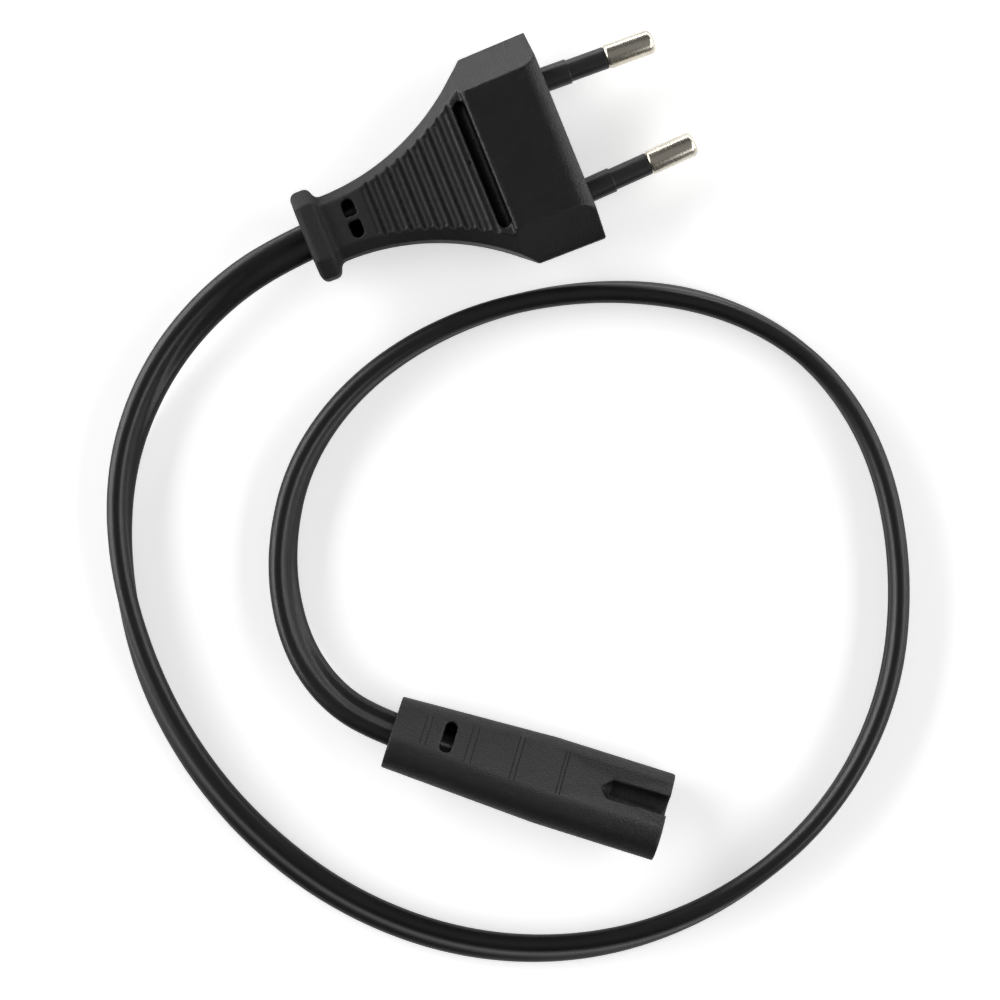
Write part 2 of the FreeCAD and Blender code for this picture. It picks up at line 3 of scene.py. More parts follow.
import bmesh
import bpy
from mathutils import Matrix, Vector


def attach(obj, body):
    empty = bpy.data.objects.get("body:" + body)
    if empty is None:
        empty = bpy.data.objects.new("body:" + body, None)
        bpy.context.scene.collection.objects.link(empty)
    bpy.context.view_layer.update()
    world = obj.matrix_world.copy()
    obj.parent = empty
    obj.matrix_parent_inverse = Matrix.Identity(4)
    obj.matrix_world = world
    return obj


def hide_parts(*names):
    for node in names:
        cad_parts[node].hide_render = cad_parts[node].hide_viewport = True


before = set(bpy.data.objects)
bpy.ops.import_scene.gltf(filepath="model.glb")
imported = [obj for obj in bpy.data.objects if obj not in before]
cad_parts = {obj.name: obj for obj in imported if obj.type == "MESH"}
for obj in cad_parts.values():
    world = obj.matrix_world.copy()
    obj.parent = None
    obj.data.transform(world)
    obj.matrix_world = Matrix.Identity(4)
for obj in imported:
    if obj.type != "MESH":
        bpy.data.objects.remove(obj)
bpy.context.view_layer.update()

# Metres throughout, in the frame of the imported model: the table is Z = 0, the figure-eight
# connector lies along X, and the photograph looks straight down.

MM = 0.001
UP = Vector((0, 0, 1))
PHOTO_TURN = math.radians(17.5)  # how far the picture's sideways direction is turned from +X
NORTH = Vector((-math.sin(PHOTO_TURN), math.cos(PHOTO_TURN), 0))  # the picture's up, on the table
WEST = Vector((-math.cos(PHOTO_TURN), -math.sin(PHOTO_TURN), 0))
CAMERA_PLACE = Vector((-17.6, 40.9, 437.0)) * MM
CAMERA_LENS = 96
CAMERA_SENSOR = 36
CAMERA_NEAREST = 0.01

PLUG_FACE = Vector((-25.3, 100.1, 6.85)) * MM
PLUG_HEADING = math.radians(39.5)
PLUG_AHEAD = Vector((math.cos(PLUG_HEADING), math.sin(PLUG_HEADING), 0))
CONNECTOR_ROLL = math.radians(38.0)
CONNECTOR_HEIGHT = 6.197 * MM

# The flat cord: sizes of its section, and its route from the plug to the connector. The heights
# follow from how far the cord stands on its edge at each point.
CORD_WIDTH = 5.95 * MM
CORD_THICKNESS = 3.17 * MM
CORD_GROOVE = 0.2 * MM
CORD_FINENESS = 24  # rings from one route point to the next
CORD_ROUTE = [
    (-71.9, 57.7, 5.3),
    (-77.6, 42.8, 4.1),
    (-78.1, 26.0, 3.2),
    (-71.8, 8.2, 3.0),
    (-59.6, -8.7, 2.82),
    (-42.1, -21.9, 2.63),
    (-21.1, -29.5, 2.61),
    (1.0, -30.0, 2.7),
    (21.6, -23.0, 2.82),
    (38.3, -9.2, 2.96),
    (49.3, 9.1, 3.0),
    (52.7, 29.7, 3.0),
    (48.2, 50.2, 3.0),
    (38.2, 67.9, 3.0),
    (23.5, 79.0, 3.0),
    (5.1, 82.4, 2.98),
    (-14.3, 78.1, 2.98),
    (-32.0, 68.0, 3.0),
    (-44.7, 53.9, 3.0),
    (-50.7, 37.9, 2.98),
    (-49.4, 22.2, 2.95),
    (-43.2, 9.5, 3.5),
    (-34.0, 2.0, 5.0),
]
CORD_IN_PLUG = (32.0, 48.0)  # first two points, in millimetres behind the plug's front face
CORD_IN_CONNECTOR = (-23.0, -11.6)  # last two points, along the connector
PLUG_CORD_SEAT = 13.0  # length of cord inside the plug
# Degrees that the cord's flat leans from face-up towards the inside of the loop, against the
# distance from the plug in millimetres
CORD_TWIST = [
    (-20, 0), (0, 7), (31, 39), (54, 72), (66, 90), (85, 121), (105, 132), (117, 138), (147, 134),
    (170, 126), (186, 113), (208, 98), (240, 91), (290, 91), (325, 109), (356, 90), (387, 77),
    (403, 67), (418, 55), (434, 41), (445, 38), (470, 38),
]
TWIST_BLUR = 7  # rings on each side over which the twist is evened out


def plug_point(behind):
    """A point on the plug's axis, that many millimetres behind its front face."""
    return PLUG_FACE - PLUG_AHEAD * (behind * MM)


def link(obj):
    bpy.context.scene.collection.objects.link(obj)
    return obj


# Camera

def make_camera():
    data = bpy.data.cameras.new("camera")
    data.lens = CAMERA_LENS
    data.sensor_width = CAMERA_SENSOR
    data.clip_start = CAMERA_NEAREST
    camera = link(bpy.data.objects.new("camera", data))
    camera.location = CAMERA_PLACE
    camera.rotation_euler = (0, 0, PHOTO_TURN)
    bpy.context.scene.camera = camera


# Cord

def line_through(name, points):
    """The points of a smooth spline that has the given ones as its control points."""
    curve = bpy.data.curves.new(name, "CURVE")
    curve.dimensions = "3D"
    curve.resolution_u = CORD_FINENESS
    spline = curve.splines.new("NURBS")
    spline.points.add(len(points) - 1)
    for handle, point in zip(spline.points, points):
        handle.co = (*point, 1)
    spline.order_u = 3
    spline.use_endpoint_u = True
    obj = link(bpy.data.objects.new(name, curve))
    mesh = bpy.data.meshes.new_from_object(obj)
    line = [vertex.co.copy() for vertex in mesh.vertices]
    bpy.data.objects.remove(obj)
    return line


def table_value(table, at):
    """Value of a table of (place, value): straight between its rows, and level past both ends."""
    for (start, low), (end, high) in zip(table, table[1:]):
        if at <= end:
            share = max((at - start) / (end - start), 0)
            return low + (high - low) * share
    return table[-1][1]


def blurred(values, reach):
    """Each value averaged with its neighbours, so that the twist runs evenly."""
    result = []
    for number in range(len(values)):
        near = values[max(0, number - reach):number + reach + 1]
        result.append(sum(near) / len(near))
    return result


def cord_outline(steps=9):
    """The cord's section: round narrow sides and a shallow groove down each flat."""
    radius = CORD_THICKNESS / 2
    shoulder = CORD_WIDTH / 2 - radius
    side = []
    for step in range(steps + 1):
        angle = math.pi / 2 * step / steps
        side.append((shoulder + radius * math.cos(angle), radius * math.sin(angle)))
    flat = []
    for step in range(1, steps):
        across = shoulder * (1 - step / steps)
        dip = CORD_GROOVE * (1 + math.cos(math.pi * across / shoulder)) / 2
        flat.append((across, radius - dip))
    quarter = side + flat
    middle = [(0.0, radius - CORD_GROOVE)]
    half = quarter + middle + [(-a, n) for a, n in reversed(quarter)]
    return half + [(a, -n) for a, n in reversed(half[1:-1])]


def tube_mesh(name, rings):
    """A closed tube from rings of points, with a UV map in metres: round it, and along it."""
    sides = len(rings[0])
    points = [point for ring in rings for point in ring]
    faces = []
    for row in range(len(rings) - 1):
        for column in range(sides):
            after = (column + 1) % sides
            faces.append((row * sides + column, row * sides + after, (row + 1) * sides + after,
                          (row + 1) * sides + column))
    faces.append(tuple(reversed(range(sides))))
    faces.append(tuple(range((len(rings) - 1) * sides, len(rings) * sides)))
    mesh = bpy.data.meshes.new(name)
    mesh.from_pydata([tuple(point) for point in points], [], faces)
    around = [0.0]
    for first, second in zip(rings[0], rings[0][1:]):
        around.append(around[-1] + (second - first).length)
    along = [0.0]
    for first, second in zip(rings, rings[1:]):
        along.append(along[-1] + (second[0] - first[0]).length)
    layer = mesh.uv_layers.new(name="length_and_girth")
    for loop in mesh.loops:
        row, column = divmod(loop.vertex_index, sides)
        layer.data[loop.index].uv = (around[column], along[row])
    mesh.polygons.foreach_set("use_smooth", [True] * len(mesh.polygons))
    return mesh


def make_cord():
    """The flat cord, which turns about its own length on the way round the loop."""
    start = [plug_point(behind) for behind in CORD_IN_PLUG]
    end = [Vector((x * MM, 0, CONNECTOR_HEIGHT)) for x in CORD_IN_CONNECTOR]
    line = line_through("cord_line", start + [Vector(point) * MM for point in CORD_ROUTE] + end)
    outline = cord_outline()
    travelled = [0.0]
    for first, second in zip(line, line[1:]):
        travelled.append(travelled[-1] + (second - first).length)
    from_plug = [distance / MM - PLUG_CORD_SEAT for distance in travelled]
    leans = blurred([table_value(CORD_TWIST, distance) for distance in from_plug], TWIST_BLUR)
    rings = []
    for number, point in enumerate(line):
        ahead = line[min(number + 1, len(line) - 1)] - line[max(number - 1, 0)]
        ahead.normalize()
        left = UP.cross(ahead).normalized()
        over = ahead.cross(left)
        lean = math.radians(leans[number])
        normal = over * math.cos(lean) + left * math.sin(lean)
        across = ahead.cross(normal)
        rings.append([point + across * a + normal * n for a, n in outline])
    cord = link(bpy.data.objects.new("cord_sheath", tube_mesh("cord_sheath", rings)))
    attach(cord, "root")
    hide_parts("cord")


# Mouldings

# Node: name of the softened piece, its slot, grid in millimetres, rounds of smoothing, and the
# share of the faces that is kept
SOFTENED = {
    "plug_body": ("plug_body_moulded", "moulding", 0.2, 2, 0.55),
    "connector_body": ("connector_body_moulded", "moulding", 0.2, 3, 0.9),
}


def soften(node, name, slot, grid, rounds, kept):
    """The shape of that node with the small radii that its mould leaves on each edge."""
    piece = link(bpy.data.objects.new(name, bpy.data.objects[node].data.copy()))
    for kind, settings in [
        ("REMESH", {"mode": "VOXEL", "voxel_size": grid * MM, "use_smooth_shade": True}),
        ("SMOOTH", {"factor": 0.5, "iterations": rounds}),
        ("DECIMATE", {"ratio": kept}),
    ]:
        modifier = piece.modifiers.new(kind.lower(), kind)
        for setting, value in settings.items():
            setattr(modifier, setting, value)
    graph = bpy.context.evaluated_depsgraph_get()
    mesh = bpy.data.meshes.new_from_object(piece.evaluated_get(graph))
    piece.modifiers.clear()
    piece.data = mesh
    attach(piece, "root")
    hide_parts(node)


def make_softened():
    for node, how in SOFTENED.items():
        soften(node, *how)


# Pins, in millimetres

PIN_PITCH_BASE = 19.2
PIN_PITCH_TIP = 17.8
PIN_REACH = 19.0
PIN_RADIUS = 2.0
PIN_TIP_ROUNDING = 1.0
PIN_TIP_RING = 0.5  # radius of a ring on the flat of the tip, which keeps its shading even
PIN_SHOULDER = 0.6
PIN_CORE_RADIUS = 1.3
PIN_BARE_FROM = 10.7
PIN_TAIL = 9.6
PIN_SIDES = 72
PIN_SAME_POINT = 0.001
PIN_SHARP_FROM = math.radians(40)


def quarter_turn(place, radius, size, start, steps=8):
    """Points (along the pin, off its axis) of a rounded corner about that place and radius."""
    points = []
    for step in range(steps + 1):
        angle = start + math.pi / 2 * step / steps
        points.append((place + size * math.cos(angle), radius + size * math.sin(angle)))
    return points


def pin_profile():
    """Points (along the pin, off its axis) from the tip to the tail, as the lathe cuts them."""
    tip = quarter_turn(PIN_REACH - PIN_TIP_ROUNDING, PIN_RADIUS - PIN_TIP_ROUNDING,
                       PIN_TIP_ROUNDING, 0.0)
    shoulder = quarter_turn(PIN_BARE_FROM + PIN_SHOULDER, PIN_RADIUS - PIN_SHOULDER, PIN_SHOULDER,
                            math.pi / 2)
    core = [(PIN_BARE_FROM, PIN_CORE_RADIUS), (-PIN_TAIL, PIN_CORE_RADIUS), (-PIN_TAIL, 0.0)]
    return [(PIN_REACH, 0.0), (PIN_REACH, PIN_TIP_RING)] + tip + shoulder + core


def make_pin(side, node, name):
    """One pin: round tip, eased shoulder, and the slim part that stands in its sleeve."""
    lean = math.atan((PIN_PITCH_BASE - PIN_PITCH_TIP) / 2 / PIN_REACH)
    heading = PLUG_HEADING - side * lean
    ahead = Vector((math.cos(heading), math.sin(heading), 0))
    left = UP.cross(ahead)
    base = PLUG_FACE + UP.cross(PLUG_AHEAD) * (side * PIN_PITCH_BASE / 2 * MM)
    shape = bmesh.new()
    rings = []
    for along, radius in pin_profile():
        ring = []
        for step in range(PIN_SIDES):
            angle = 2 * math.pi * step / PIN_SIDES
            out = left * math.cos(angle) + UP * math.sin(angle)
            ring.append(shape.verts.new(base + (ahead * along + out * radius) * MM))
        rings.append(ring)
    for first, second in zip(rings, rings[1:]):
        for step in range(PIN_SIDES):
            after = (step + 1) % PIN_SIDES
            shape.faces.new((first[step], second[step], second[after], first[after]))
    bmesh.ops.remove_doubles(shape, verts=shape.verts, dist=PIN_SAME_POINT * MM)
    bmesh.ops.recalc_face_normals(shape, faces=shape.faces)
    mesh = bpy.data.meshes.new(name)
    shape.to_mesh(mesh)
    shape.free()
    mesh.polygons.foreach_set("use_smooth", [True] * len(mesh.polygons))
    mesh.set_sharp_from_angle(angle=PIN_SHARP_FROM)
    pin = link(bpy.data.objects.new(name, mesh))
    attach(pin, "root")
    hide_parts(node)


# Nodes

NOISE = {"Detail": 3.0, "Roughness": 0.55}
NOISE_RANGE = (0.3, 0.7)  # nearly all of a noise's values
SMOOTHLY = {"interpolation_type": "SMOOTHSTEP"}


def linear(code):
    """An sRGB colour such as 1c1c1e as linear red, green, blue and alpha."""
    parts = [int(code[place:place + 2], 16) / 255 for place in (0, 2, 4)]
    return tuple(part / 12.92 if part <= 0.04045 else ((part + 0.055) / 1.055) ** 2.4
                 for part in parts) + (1.0,)


def add(tree, kind, inputs=(), out=0, **settings):
    """Adds a node with its settings and returns one of its outputs. The inputs, by name or in
    order, are values or outputs of other nodes."""
    node = tree.nodes.new("ShaderNode" + kind)
    for name, value in settings.items():
        setattr(node, name, value)
    pairs = inputs.items() if isinstance(inputs, dict) else enumerate(inputs)
    for name, value in pairs:
        if isinstance(value, bpy.types.NodeSocket):
            tree.links.new(value, node.inputs[name])
        else:
            node.inputs[name].default_value = value
    return node.outputs[out]


def new_material(name):
    material = bpy.data.materials.new(name)
    material.use_nodes = True
    tree = material.node_tree
    return material, tree, tree.nodes["Principled BSDF"]


def feed(tree, shader, outputs):
    """Links each output to the shader's socket of that name."""
    for name, output in outputs.items():
        tree.links.new(output, shader.inputs[name])


def wavering(tree, place, size, low, high, detail=3.0):
    """A value that wavers between the two over patches that are about that many metres across."""
    patches = add(tree, "TexNoise", {"Vector": place, "Scale": 1 / size, **NOISE, "Detail": detail})
    return add(tree, "MapRange", [patches, *NOISE_RANGE, low, high])


def mottled(tree, place, size, first, second):
    """A colour that drifts between the two over patches that are about that many metres across."""
    share = wavering(tree, place, size, 0.0, 1.0)
    return add(tree, "Mix", {0: share, 6: linear(first), 7: linear(second)}, 2, data_type="RGBA")


# Finishes

SPARK_GRAIN = 0.3 * MM  # of all the PVC; the real grain is finer, drawn coarser so that it shows
MOULDING_CLOUDS = 7 * MM
# Painted shade: how far the ambient occlusion reaches when it darkens holes and grooves
PAINTED_SHADE_REACH = 2.5 * MM
PVC_SPECULAR = 0.5
PLUG_RELIEF = 0.11 * MM
CONNECTOR_RELIEF = 0.14 * MM
GRIP_START = 14 * MM  # behind the plug's front face
GRIP_END = 42 * MM
GRIP_ROUGHER = 0.3
ENGRAVED_WIDTH = 0.36 * MM
ENGRAVED_DEPTH = 0.7  # in heights of the grain
# How much painted shade lowers the colour and the specular in the engraved cuts
ENGRAVED_PAINTED_SHADE = 0.8
# Place along the connector and half length of each engraved line, in millimetres
ENGRAVED_LINES = [(-18.2, 2.85), (-17.3, 2.85), (-10.6, 3.55), (-9.6, 3.55), (-2.9, 4.25),
                  (-2.1, 4.25), (4.9, 4.25), (5.5, 4.25)]
PLUG_ROUGHNESS = (0.3, 0.42)
CONNECTOR_ROUGHNESS = (0.3, 0.5)
SHEATH_CLOUDS = 9 * MM
SHEATH_RELIEF = 0.03 * MM
SHEATH_ROUGHNESS = (0.3, 0.42)
SHEATH_STRENGTH = 0.6  # how much of the relief shows in the light
DIE_LINES = 0.25 * MM  # scratches of the die are finer, drawn wider so that they show
DIE_STRETCH = 0.05
DIE_DEPTH = 0.6  # in heights of the grain
LATHE_RINGS = 0.12 * MM  # the tool's rings are finer, drawn wider so that they show
LATHE_STRETCH = 0.04
LATHE_STRENGTH = 0.05
NICKEL_STAINS = 2.5 * MM
NICKEL_ROUGHNESS = (0.24, 0.3)
FINE_RELIEF = 0.01 * MM  # of the pins and the smooth plastics
PLASTIC_CLOUDS = 3 * MM
PLASTIC_GRAIN = 0.15 * MM  # the real one is finer, drawn coarser so that it shows
PLASTIC_STRENGTH = 0.3
PLASTIC_EDGE = 0.15 * MM
ROUGHNESS_SPREAD = 0.05
BRASS_TARNISH = 1.2 * MM
BRASS_ROUGHNESS = (0.25, 0.4)


def moulding_colour_and_painted_shade(tree, shader, place, cut=0.0):
    """Black PVC: cloudy by a shade over a few millimetres, with painted shade down in its holes,
    grooves and engraved cuts, where the colour is blacker and the specular lower."""
    surface = mottled(tree, place, MOULDING_CLOUDS, "0b0b0c", "101011")
    # Painted shade: ambient occlusion darkens the colour and dims the specular in holes and grooves
    openness = add(tree, "AmbientOcclusion", {"Distance": PAINTED_SHADE_REACH}, "AO", samples=8)
    unshaded_in_holes = add(tree, "Math", [openness, 2.0], operation="POWER")
    # Painted shade in the engraved cuts, on top of the shade in the holes
    unshaded_in_cuts = add(tree, "Math", [cut, -ENGRAVED_PAINTED_SHADE, 1.0], operation="MULTIPLY_ADD")
    unshaded = add(tree, "Math", [unshaded_in_holes, unshaded_in_cuts], operation="MULTIPLY")
    # The colour sinks towards the painted shade's 030303, and the specular falls with it
    feed(tree, shader, {
        "Base Color": add(tree, "Mix", {0: unshaded, 6: linear("030303"), 7: surface}, 2,
                          data_type="RGBA"),
        "Specular IOR Level": add(tree, "Math", [unshaded, PVC_SPECULAR], operation="MULTIPLY"),
    })


def engraved_pairs(tree, place):
    """Ones in the fine cut lines, two and two, across the connector's upper flat, and zero
    elsewhere."""
    cos, sin = math.cos(CONNECTOR_ROLL), math.sin(CONNECTOR_ROLL)
    from_axis = add(tree, "VectorMath", [place, (0, 0, CONNECTOR_HEIGHT)], operation="SUBTRACT")
    above = add(tree, "VectorMath", [from_axis, (0, sin, cos)], "Value", operation="DOT_PRODUCT")
    across = add(tree, "VectorMath", [from_axis, (0, cos, -sin)], "Value", operation="DOT_PRODUCT")
    from_middle = add(tree, "Math", [across], operation="ABSOLUTE")
    along = add(tree, "SeparateXYZ", [place], "X")
    cut = 0.0
    for line_place, half_length in ENGRAVED_LINES:
        past = add(tree, "Math", [along, line_place * MM], operation="SUBTRACT")
        beside = add(tree, "Math", [past], operation="ABSOLUTE")
        line = add(tree, "MapRange", [beside, 0.0, ENGRAVED_WIDTH / 2, 1.0, 0.0], **SMOOTHLY)
        within = add(tree, "Math", [from_middle, half_length * MM], operation="LESS_THAN")
        cut = add(tree, "Math", [line, within, cut], operation="MULTIPLY_ADD")
    on_top = add(tree, "Math", [above, 0.0], operation="GREATER_THAN")
    return add(tree, "Math", [cut, on_top], operation="MULTIPLY")


def pvc_plug_moulded():
    """The plug's body: matte from the mould's spark-eroded grain, with a low sheen that picks out
    each facet and rib. The block is smoothest, and the grip grows coarser towards the collar."""
    material, tree, shader = new_material("black_pvc_plug_injection_moulded")
    place = add(tree, "TexCoord", out="Object")
    # Colour, with painted shade in the plug's holes, grooves and windows
    moulding_colour_and_painted_shade(tree, shader, place)
    grain = add(tree, "TexNoise", {"Vector": place, "Scale": 1 / SPARK_GRAIN, **NOISE})
    from_face = add(tree, "VectorMath", [place, tuple(PLUG_FACE)], operation="SUBTRACT")
    behind = add(tree, "VectorMath", [from_face, tuple(-PLUG_AHEAD)], "Value",
                 operation="DOT_PRODUCT")
    coarse = add(tree, "MapRange", [behind, GRIP_START, GRIP_END, 0.0, GRIP_ROUGHER], **SMOOTHLY)
    smooth = wavering(tree, place, SPARK_GRAIN, *PLUG_ROUGHNESS)
    feed(tree, shader, {
        "Roughness": add(tree, "Math", [smooth, coarse], operation="ADD"),
        "Normal": add(tree, "Bump", {"Height": grain, "Distance": PLUG_RELIEF, "Strength": 1.0}),
    })
    return material


def pvc_connector_moulded():
    """The connector's body: the same grained black PVC, with four pairs of fine engraved lines that
    carry painted shade.
    """
    material, tree, shader = new_material("black_pvc_connector_injection_moulded")
    place = add(tree, "TexCoord", out="Object")
    cut = engraved_pairs(tree, place)
    # Colour, with painted shade in the holes and grooves and in the engraved cuts
    moulding_colour_and_painted_shade(tree, shader, place, cut)
    grain = add(tree, "TexNoise", {"Vector": place, "Scale": 1 / SPARK_GRAIN, **NOISE})
    height = add(tree, "Math", [cut, -ENGRAVED_DEPTH, grain], operation="MULTIPLY_ADD")
    feed(tree, shader, {
        "Roughness": wavering(tree, place, SPARK_GRAIN, *CONNECTOR_ROUGHNESS),
        "Normal": add(tree, "Bump", {"Height": height, "Distance": CONNECTOR_RELIEF,
                                     "Strength": 1.0}),
    })
    return material


def pvc_sheath_extruded():
    """The cord's sheath: a little shinier than the mouldings, with faint lines along it from the
    die and the same fine grain."""
    material, tree, shader = new_material("black_pvc_sheath_extruded")
    girth = add(tree, "TexCoord", out="UV")
    place = add(tree, "TexCoord", out="Object")
    drawn = add(tree, "Mapping", {"Vector": girth, "Scale": (1.0, DIE_STRETCH, 1.0)})
    lines = add(tree, "TexNoise", {"Vector": drawn, "Scale": 1 / DIE_LINES, **NOISE, "Detail": 2.0})
    grain = add(tree, "TexNoise", {"Vector": place, "Scale": 1 / SPARK_GRAIN, **NOISE})
    height = add(tree, "Math", [lines, DIE_DEPTH, grain], operation="MULTIPLY_ADD")
    feed(tree, shader, {
        "Base Color": mottled(tree, place, SHEATH_CLOUDS, "0c0c0d", "121213"),
        "Roughness": wavering(tree, place, SPARK_GRAIN, *SHEATH_ROUGHNESS),
        "Normal": add(tree, "Bump", {"Height": height, "Distance": SHEATH_RELIEF,
                                     "Strength": SHEATH_STRENGTH}),
    })
    return material


def nickel_turned():
    """The bare ends of the pins: satin nickel over turned brass, a little warm, with fine rings
    left by the lathe."""
    material, tree, shader = new_material("nickel_plated_brass_turned")
    place = add(tree, "TexCoord", out="Object")
    straight = add(tree, "VectorRotate", {"Vector": place, "Angle": -PLUG_HEADING},
                   rotation_type="Z_AXIS")
    rings = add(tree, "Mapping", {"Vector": straight,
                                  "Scale": (1.0, LATHE_STRETCH, LATHE_STRETCH)})
    ridges = add(tree, "TexNoise", {"Vector": rings, "Scale": 1 / LATHE_RINGS, **NOISE,
                                    "Detail": 2.0})
    feed(tree, shader, {
        "Base Color": mottled(tree, place, NICKEL_STAINS, "e2dccf", "d6cdbe"),
        "Roughness": wavering(tree, rings, LATHE_RINGS, *NICKEL_ROUGHNESS, detail=2.0),
        "Normal": add(tree, "Bump", {"Height": ridges, "Distance": FINE_RELIEF,
                                     "Strength": LATHE_STRENGTH}),
    })
    shader.inputs["Metallic"].default_value = 1.0
    return material


def brass_pressed():
    """The contacts in the connector: pressed brass, yellow and dulled by handling."""
    material, tree, shader = new_material("brass_contact_pressed")
    place = add(tree, "TexCoord", out="Object")
    tarnish = wavering(tree, place, BRASS_TARNISH, 0.0, 1.0)
    feed(tree, shader, {
        "Base Color": mottled(tree, place, BRASS_TARNISH, "c9a25a", "a98545"),
        "Roughness": add(tree, "MapRange", [tarnish, *NOISE_RANGE, *BRASS_ROUGHNESS]),
    })
    shader.inputs["Metallic"].default_value = 1.0
    return material


def smooth_plastic(name, first, second, rough):
    """A plastic without grain to speak of, with a slight cloud of shade and softened edges."""
    material, tree, shader = new_material(name)
    place = add(tree, "TexCoord", out="Object")
    grain = add(tree, "TexNoise", {"Vector": place, "Scale": 1 / PLASTIC_GRAIN, **NOISE})
    edges = add(tree, "Bevel", {"Radius": PLASTIC_EDGE}, samples=8)
    feed(tree, shader, {
        "Base Color": mottled(tree, place, PLASTIC_CLOUDS, first, second),
        "Roughness": wavering(tree, place, PLASTIC_GRAIN, rough - ROUGHNESS_SPREAD,
                              rough + ROUGHNESS_SPREAD),
        "Normal": add(tree, "Bump", {"Height": grain, "Normal": edges, "Distance": FINE_RELIEF,
                                     "Strength": PLASTIC_STRENGTH}),
    })
    return material


def nylon_sleeve_moulded():
    """The pins' sleeves: black, and smoother than the plug, with a soft streak of light along."""
    return smooth_plastic("black_nylon_sleeve_moulded", "1d1d1e", "242425", 0.38)


def nylon_insert_moulded():
    """The hidden inserts: a dull dark grey, which stays darker than the contacts in its mouths."""
    return smooth_plastic("dark_nylon_insert_moulded", "2b2b2d", "323235", 0.45)


def blue_pvc_extruded():
    """The blue core's insulation: an even, slightly waxy blue."""
    return smooth_plastic("blue_pvc_insulation_extruded", "2a6cb5", "2462a6", 0.4)


def brown_pvc_extruded():
    """The brown core's insulation: an even, slightly waxy brown."""
    return smooth_plastic("brown_pvc_insulation_extruded", "6b3f24", "5e371f", 0.4)


def paint(material, *names):
    for name in names:
        mesh = bpy.data.objects[name].data
        mesh.materials.clear()
        mesh.materials.append(material)


def make_materials():
    paint(pvc_sheath_extruded(), "cord_sheath")
    paint(pvc_plug_moulded(), "plug_body_moulded")
    paint(pvc_connector_moulded(), "connector_body_moulded")
    paint(nickel_turned(), "pin_left_turned", "pin_right_turned")
    paint(nylon_sleeve_moulded(), "pin_sleeve_left", "pin_sleeve_right")
    paint(nylon_insert_moulded(), "plug_bridge", "contact_carrier")
    paint(brass_pressed(), "contact_left", "contact_right")
    paint(blue_pvc_extruded(), "plug_wire_left", "connector_wire_left")
    paint(brown_pvc_extruded(), "plug_wire_right", "connector_wire_right")


# Table

TABLE_HALF = 1.5
TABLE_DROP = 0.02 * MM  # a hair under the lead
TABLE_GLOW = 0.45  # by the lead, where the lamps add the rest of the white
GLOW_FADE = (0.2, 0.6)  # distances between which the glow rises to the whole of the white
BOUNCE_FADE = (0.1, 0.4)  # distances between which the table throws back less light
PINS_FADE = (15 * MM, 40 * MM)  # how far from the pins the table also glows in their reflections: a painted reflection on the pins
PINS_MIDDLE = -15  # middle of the bare pins, in millimetres behind the plug's front face


def make_table():
    """A table that looks white to the camera and in reflections, and still takes the lead's soft
    shadow, but throws little of its light back up on the black lead."""
    half = TABLE_HALF
    mesh = bpy.data.meshes.new("table")
    corners = [(-half, -half, 0), (half, -half, 0), (half, half, 0), (-half, half, 0)]
    mesh.from_pydata(corners, [], [(0, 1, 2, 3)])
    table = link(bpy.data.objects.new("table", mesh))
    table.location = (0, 0, -TABLE_DROP)
    material, tree, shader = new_material("white_table_matte")
    by_camera = add(tree, "LightPath", out="Is Camera Ray")
    by_gloss = add(tree, "LightPath", out="Is Glossy Ray")
    by_clear = add(tree, "LightPath", out="Is Transmission Ray")
    mirrored = add(tree, "Math", [by_gloss, by_clear], operation="MAXIMUM")
    seen = add(tree, "Math", [by_camera, mirrored], operation="MAXIMUM")
    place = add(tree, "TexCoord", out="Object")
    far = add(tree, "VectorMath", [place], "Value", operation="LENGTH")
    dimmer = add(tree, "MapRange", [far, *BOUNCE_FADE, 0.0, 1.0], **SMOOTHLY)
    bounced = add(tree, "Mix", {0: dimmer, 6: linear("7c7c7c"), 7: linear("303030")}, 2,
                  data_type="RGBA")
    pins = plug_point(PINS_MIDDLE)
    beside = add(tree, "VectorMath", [place, (pins.x, pins.y, 0.0)], "Value", operation="DISTANCE")
    by_pins = add(tree, "MapRange", [beside, *PINS_FADE, 1.0, 0.0], **SMOOTHLY)
    # Painted reflection: near the pins the table glows in their reflections, which brightens the
    # pins
    painted_pin_reflection = add(tree, "Math", [mirrored, by_pins], operation="MULTIPLY")
    camera_or_pin_glow = add(tree, "Math", [by_camera, painted_pin_reflection], operation="MAXIMUM")
    glow = add(tree, "MapRange", [far, *GLOW_FADE, TABLE_GLOW, 1.0], **SMOOTHLY)
    feed(tree, shader, {
        "Base Color": add(tree, "Mix", {0: seen, 6: bounced, 7: linear("fafafa")}, 2,
                          data_type="RGBA"),
        "Emission Strength": add(tree, "Math", [camera_or_pin_glow, glow], operation="MULTIPLY"),
    })
    shader.inputs["Roughness"].default_value = 1.0
    shader.inputs["Specular IOR Level"].default_value = 0.0
    shader.inputs["Emission Color"].default_value = (1, 1, 1, 1)
    mesh.materials.append(material)


# Light

# Heights are given as their sine, from 0 at the horizon to 1 overhead
BAND_FADE = (0.0, 0.22)  # heights between which the bright band fades
BAND_LIGHT = 12.0
BAND_NORTHWARD = (-0.6, 0.2)  # from where it is dark in the south to where it is full
BAND_WESTWARD = 0.25  # how much brighter it is in the west, and dimmer in the east
OVERHEAD_FADE = (0.75, 0.95)  # heights between which the room's light turns to the ceiling's
ROOM_LIGHT = 0.05
CEILING_LIGHT = 0.22
SOFTBOX_DISTANCE = 1.1
# Name: direction, width and height in metres, and power in watts
SOFTBOXES = {
    "softbox_west": (WEST + NORTH * 0.25 + UP * 0.6, (1.4, 0.4), 10),
    "softbox_east": (UP * 0.7 - WEST - NORTH * 0.1, (1.6, 0.5), 8),
}


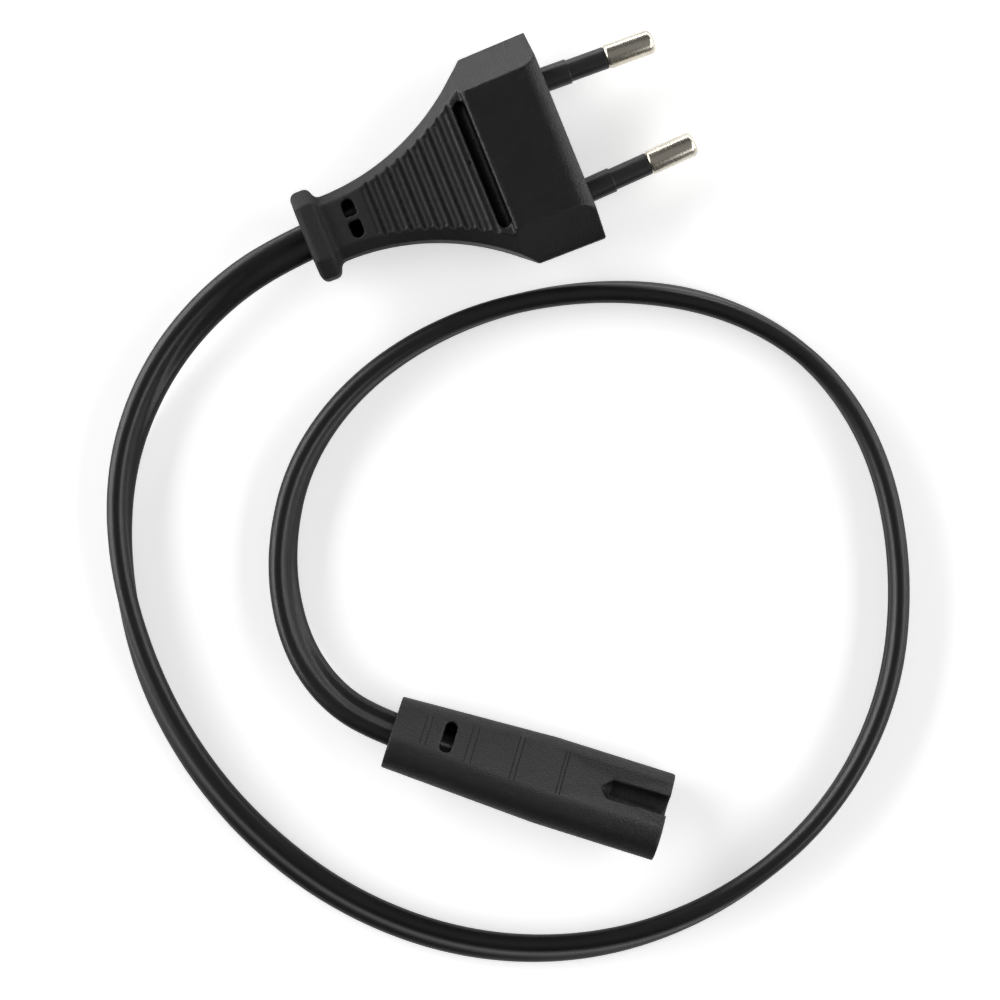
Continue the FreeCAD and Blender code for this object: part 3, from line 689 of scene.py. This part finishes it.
def make_world():
    """White where the camera sees it. For the light it is a bright band low round the north, east
    and west, dim above it and a little lighter overhead, and dark to the south."""
    world = bpy.data.worlds.new("room")
    bpy.context.scene.world = world
    world.use_nodes = True
    tree = world.node_tree
    background = tree.nodes["Background"]
    direction = add(tree, "TexCoord", out="Generated")
    height = add(tree, "SeparateXYZ", [direction], "Z")
    northward = add(tree, "VectorMath", [direction, tuple(NORTH)], "Value", operation="DOT_PRODUCT")
    westward = add(tree, "VectorMath", [direction, tuple(WEST)], "Value", operation="DOT_PRODUCT")
    low = add(tree, "MapRange", [height, *BAND_FADE, 1.0, 0.0], **SMOOTHLY)
    northerly = add(tree, "MapRange", [northward, *BAND_NORTHWARD, 0.0, 1.0], **SMOOTHLY)
    westerly = add(tree, "Math", [westward, BAND_WESTWARD, 1.0 - BAND_WESTWARD],
                   operation="MULTIPLY_ADD")
    around = add(tree, "Math", [northerly, westerly], operation="MULTIPLY")
    band = add(tree, "Math", [low, around], operation="MULTIPLY")
    overhead = add(tree, "MapRange", [height, *OVERHEAD_FADE, ROOM_LIGHT, CEILING_LIGHT],
                   **SMOOTHLY)
    bright = add(tree, "Math", [band, BAND_LIGHT, overhead], operation="MULTIPLY_ADD")
    seen = add(tree, "LightPath", out="Is Camera Ray")
    feed(tree, background, {"Strength": add(tree, "Math", [seen, bright], operation="MAXIMUM")})
    background.inputs["Color"].default_value = (1, 1, 1, 1)


def make_softbox(name, toward, size, power):
    """A soft box in that direction, which faces the middle of the picture."""
    data = bpy.data.lights.new(name, "AREA")
    data.shape = "RECTANGLE"
    data.size, data.size_y = size
    data.energy = power
    lamp = link(bpy.data.objects.new(name, data))
    middle = Vector((CAMERA_PLACE.x, CAMERA_PLACE.y, 0))
    lamp.location = middle + toward.normalized() * SOFTBOX_DISTANCE
    lamp.rotation_mode = "QUATERNION"
    lamp.rotation_quaternion = toward.to_track_quat("Z", "Y")


def make_light():
    for name, how in SOFTBOXES.items():
        make_softbox(name, *how)


make_camera()
make_softened()
make_pin(1, "pin_left", "pin_left_turned")
make_pin(-1, "pin_right", "pin_right_turned")
make_cord()
make_materials()
make_table()
make_world()
make_light()

bpy.context.scene.view_settings.view_transform = "Standard"
